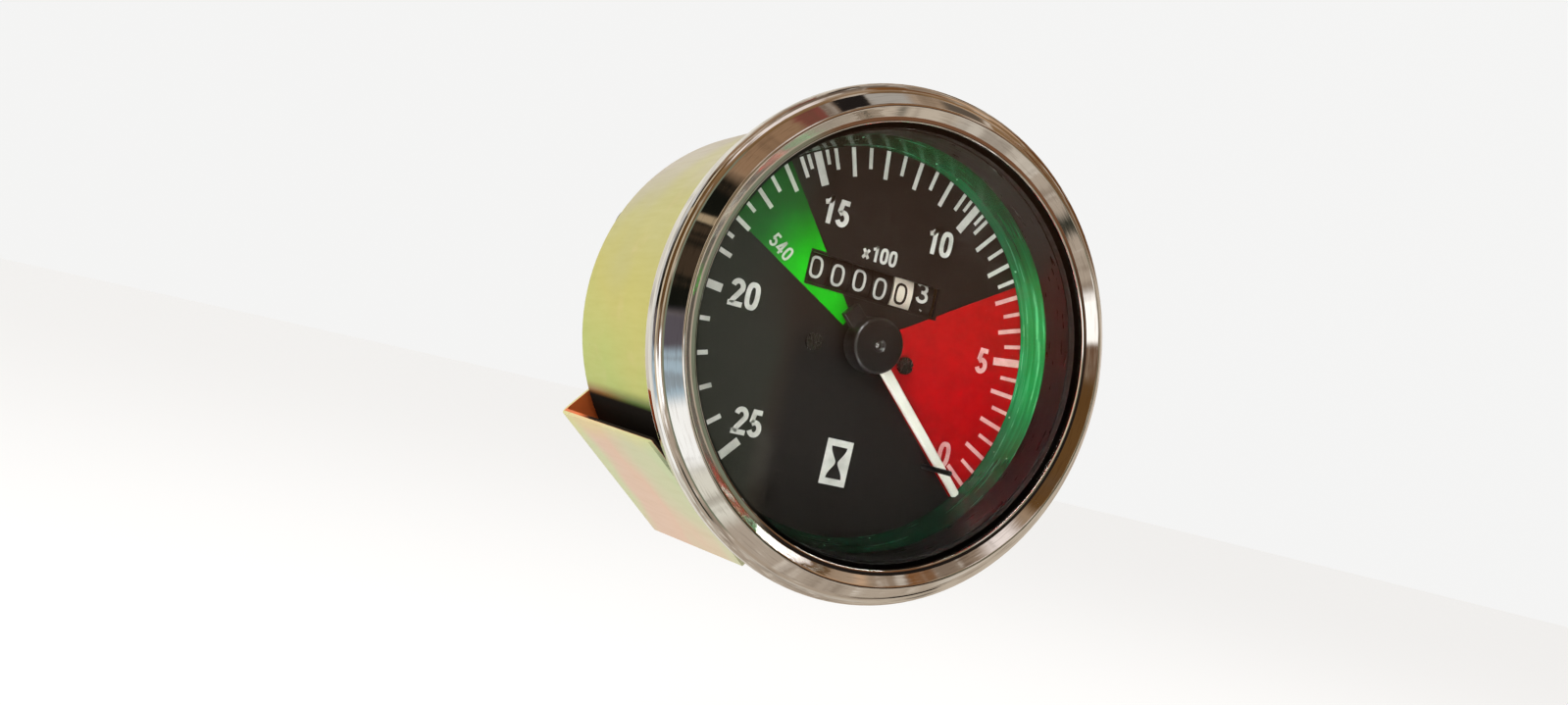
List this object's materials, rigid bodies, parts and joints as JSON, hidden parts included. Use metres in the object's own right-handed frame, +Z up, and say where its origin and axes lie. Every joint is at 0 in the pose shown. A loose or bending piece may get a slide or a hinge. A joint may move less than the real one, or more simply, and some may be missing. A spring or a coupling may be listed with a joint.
{
  "type": "tractor tachometer with hour counter",
  "caption": "Round panel tachometer for a tractor: chromed bezel, black dial with red and green fields, white pointer, hour counter, drawn case and U bracket.",
  "frame": {"origin": "on the instrument's axis, in the plane of the bezel's rear face, which bears on the front of the panel", "axes": "+Z up, dial faces -Y, +Y along the axis towards the drive cable, +X to the driver's right"},
  "size_m": [0.11, 0.0859, 0.11],
  "materials": {
    "chrome_bezel": "polished chrome plating",
    "clear_glass": "clear flat glass",
    "seal_rubber": "matt black rubber",
    "black_ring": "satin black",
    "green_ring": "translucent green",
    "dial_black": "satin black paint",
    "red_print": "satin red print",
    "green_print": "satin green print",
    "white_print": "matt white print",
    "black_gloss": "gloss black",
    "pointer_white": "satin white paint",
    "bright_steel": "bright steel",
    "spring_bronze": "spring bronze",
    "aluminium_cup": "satin aluminium",
    "magnet_grey": "ground dark metal",
    "movement_brass": "satin brass",
    "drum_black": "satin black",
    "drum_cream": "satin cream",
    "white_nylon": "satin white",
    "yellow_zinc": "yellow passivated zinc plating",
    "diecast_zinc": "die-cast, satin",
    "lamp_body": "satin dark grey",
    "bulb_glass": "clear glass bulb"
  },
  "bodies": {
    "instrument": {"bezel": "chrome_bezel", "lens": "clear_glass", "lens_seal": "seal_rubber", "spacer_ring": "black_ring", "light_ring": "green_ring", "dial_plate": "dial_black", "red_sector": "red_print", "green_sector": "green_print", "scale_marks": "white_print", "dial_screws": "black_gloss", "stop_pin": "black_gloss", "hairspring": "spring_bronze", "keeper_ring": "magnet_grey", "front_plate": "movement_brass", "rear_plate": "movement_brass", "base_plate": "movement_brass", "dial_posts": "movement_brass", "plate_pillars": "movement_brass", "movement_screws": "bright_steel", "front_bush": "spring_bronze", "rear_bush": "spring_bronze", "counter_frame": "spring_bronze", "counter_shaft": "bright_steel", "pinion_carriers": "bright_steel", "case": "yellow_zinc", "drive_neck": "diecast_zinc", "mounting_bracket": "yellow_zinc", "bracket_studs": "bright_steel", "bracket_washers": "bright_steel", "bracket_nuts": "bright_steel", "lamp_holder_left": "lamp_body", "lamp_holder_right": "lamp_body", "bulb_left": "bulb_glass", "bulb_right": "bulb_glass"},
    "pointer": {"pointer_hub": "black_gloss", "pointer_blade": "pointer_white", "pointer_spindle": "bright_steel", "drag_cup": "aluminium_cup"},
    "drive": {"drive_shaft": "bright_steel", "magnet": "magnet_grey"},
    "cross_train": {"cross_shaft": "bright_steel"},
    "counter_train": {"counter_drive_shaft": "bright_steel"},
    "drum_1": {"drum_1": "drum_black"},
    "drum_2": {"drum_2": "drum_black"},
    "drum_3": {"drum_3": "drum_black"},
    "drum_4": {"drum_4": "drum_black"},
    "drum_5": {"drum_5": "drum_cream"},
    "drum_6": {"drum_6": "drum_black"},
    "pinion_1": {"transfer_pinion_1": "white_nylon"},
    "pinion_2": {"transfer_pinion_2": "white_nylon"},
    "pinion_3": {"transfer_pinion_3": "white_nylon"},
    "pinion_4": {"transfer_pinion_4": "white_nylon"},
    "pinion_5": {"transfer_pinion_5": "white_nylon"}
  },
  "joints": [
    {"name": "pointer_turn", "type": "hinge", "parent": "instrument", "child": "pointer", "pos_m": [0, 0, 0], "axis": [0, -1, 0], "range_deg": [0, 270.7], "stiffness_Nm_per_rad": 0.0002, "springref_deg": -22.92, "deforming": ["hairspring"]},
    {"name": "drive_turn", "type": "hinge", "parent": "instrument", "child": "drive", "pos_m": [0, 0.0444, 0], "axis": [0, -1, 0], "continuous": true},
    {"name": "cross_turn", "type": "hinge", "parent": "instrument", "child": "cross_train", "pos_m": [0.008, 0.0501, 0], "axis": [0, 0, -1], "continuous": true},
    {"name": "counter_drive_turn", "type": "hinge", "parent": "instrument", "child": "counter_train", "pos_m": [0.021, 0.0501, 0.02307], "axis": [0, 1, 0], "continuous": true},
    {"name": "drum_6_turn", "type": "hinge", "parent": "instrument", "child": "drum_6", "pos_m": [0.014, 0.0228, 0.0134], "axis": [-1, 0, 0], "continuous": true},
    {"name": "drum_5_turn", "type": "hinge", "parent": "instrument", "child": "drum_5", "pos_m": [0.0084, 0.0228, 0.0134], "axis": [-1, 0, 0], "continuous": true},
    {"name": "pinion_5_turn", "type": "hinge", "parent": "instrument", "child": "pinion_5", "pos_m": [0.0112, 0.0284, 0.0134], "axis": [-1, 0, 0], "continuous": true},
    {"name": "drum_4_turn", "type": "hinge", "parent": "instrument", "child": "drum_4", "pos_m": [0.0028, 0.0228, 0.0134], "axis": [-1, 0, 0], "continuous": true},
    {"name": "pinion_4_turn", "type": "hinge", "parent": "instrument", "child": "pinion_4", "pos_m": [0.0056, 0.0284, 0.0134], "axis": [-1, 0, 0], "continuous": true},
    {"name": "drum_3_turn", "type": "hinge", "parent": "instrument", "child": "drum_3", "pos_m": [-0.0028, 0.0228, 0.0134], "axis": [-1, 0, 0], "continuous": true},
    {"name": "pinion_3_turn", "type": "hinge", "parent": "instrument", "child": "pinion_3", "pos_m": [0, 0.0284, 0.0134], "axis": [-1, 0, 0], "continuous": true},
    {"name": "drum_2_turn", "type": "hinge", "parent": "instrument", "child": "drum_2", "pos_m": [-0.0084, 0.0228, 0.0134], "axis": [-1, 0, 0], "continuous": true},
    {"name": "pinion_2_turn", "type": "hinge", "parent": "instrument", "child": "pinion_2", "pos_m": [-0.0056, 0.0284, 0.0134], "axis": [-1, 0, 0], "continuous": true},
    {"name": "drum_1_turn", "type": "hinge", "parent": "instrument", "child": "drum_1", "pos_m": [-0.014, 0.0228, 0.0134], "axis": [-1, 0, 0], "continuous": true},
    {"name": "pinion_1_turn", "type": "hinge", "parent": "instrument", "child": "pinion_1", "pos_m": [-0.0112, 0.0284, 0.0134], "axis": [-1, 0, 0], "continuous": true}
  ],
  "couplings": [
    {"joint": "cross_turn", "follows": "drive_turn", "ratio": 0.066667},
    {"joint": "counter_drive_turn", "follows": "drive_turn", "ratio": 0.0022222},
    {"joint": "drum_6_turn", "follows": "drive_turn", "ratio": 0.00011111},
    {"joint": "drum_5_turn", "follows": "drive_turn", "ratio": 0.000011111},
    {"joint": "pinion_5_turn", "follows": "drive_turn", "ratio": 0.000037037},
    {"joint": "drum_4_turn", "follows": "drive_turn", "ratio": 0.0000011111},
    {"joint": "pinion_4_turn", "follows": "drive_turn", "ratio": 0.0000037037},
    {"joint": "drum_3_turn", "follows": "drive_turn", "ratio": 0.00000011111},
    {"joint": "pinion_3_turn", "follows": "drive_turn", "ratio": 0.00000037037},
    {"joint": "drum_2_turn", "follows": "drive_turn", "ratio": 0.000000011111},
    {"joint": "pinion_2_turn", "follows": "drive_turn", "ratio": 0.000000037037},
    {"joint": "drum_1_turn", "follows": "drive_turn", "ratio": 0.0000000011111},
    {"joint": "pinion_1_turn", "follows": "drive_turn", "ratio": 0.0000000037037}
  ]
}
